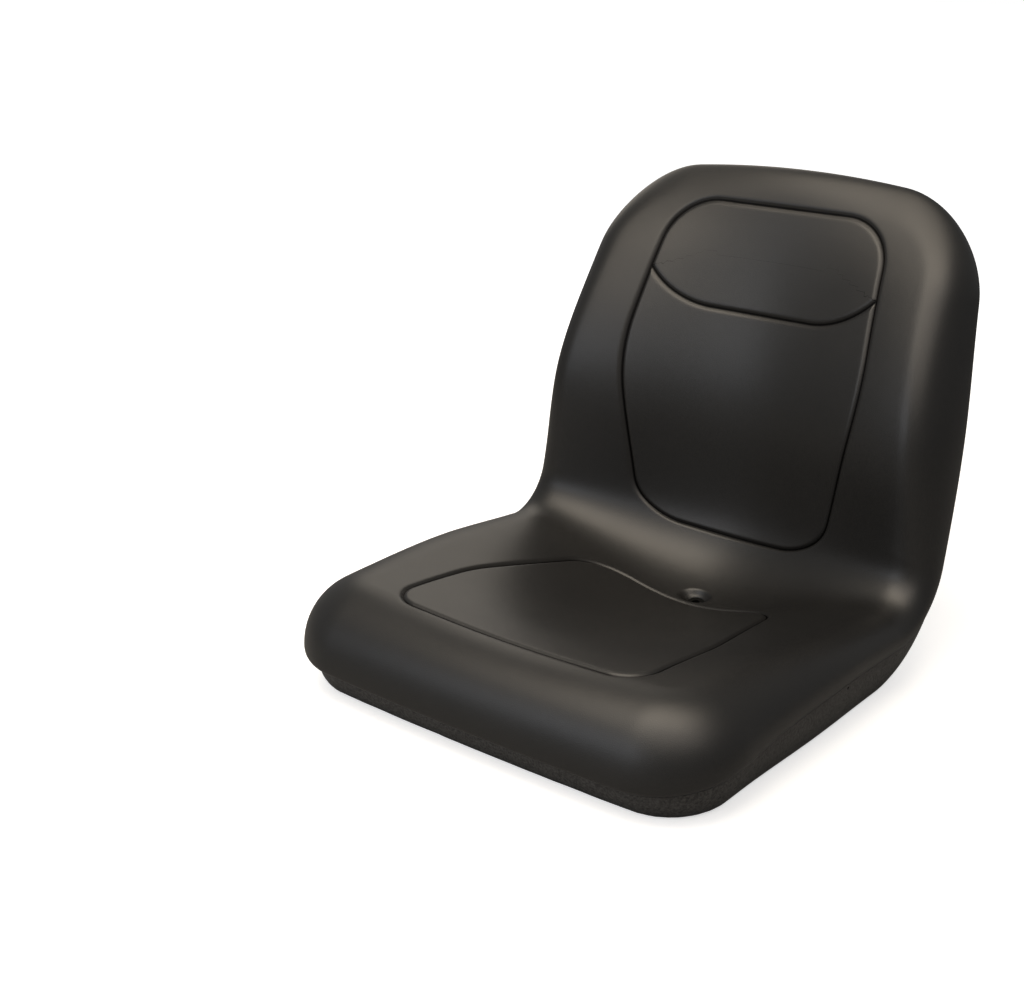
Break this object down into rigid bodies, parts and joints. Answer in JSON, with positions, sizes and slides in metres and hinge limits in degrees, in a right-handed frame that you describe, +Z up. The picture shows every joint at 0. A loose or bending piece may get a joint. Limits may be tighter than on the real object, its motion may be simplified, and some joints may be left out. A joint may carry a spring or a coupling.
{
  "type": "operator seat",
  "caption": "High-backed bucket seat for a ride-on garden machine: a seamless vinyl and foam cushion on a pressed pan with threaded mounting points.",
  "frame": {"origin": "centre of the four mounting bolts, on the flat underside of the seat pan", "axes": "+Z up from the mounting plate, -Y the way the sitter faces, +X to the sitter's left"},
  "size_m": [0.488, 0.5553, 0.4636],
  "materials": {
    "vinyl": "satin",
    "pan": "stippled matt",
    "drain": "matt",
    "nut": "zinc plated"
  },
  "bodies": {
    "root": {"cushion": "vinyl", "seat_pan": "pan", "drain_tube": "drain", "mounting_nuts": "nut"}
  },
  "joints": []
}
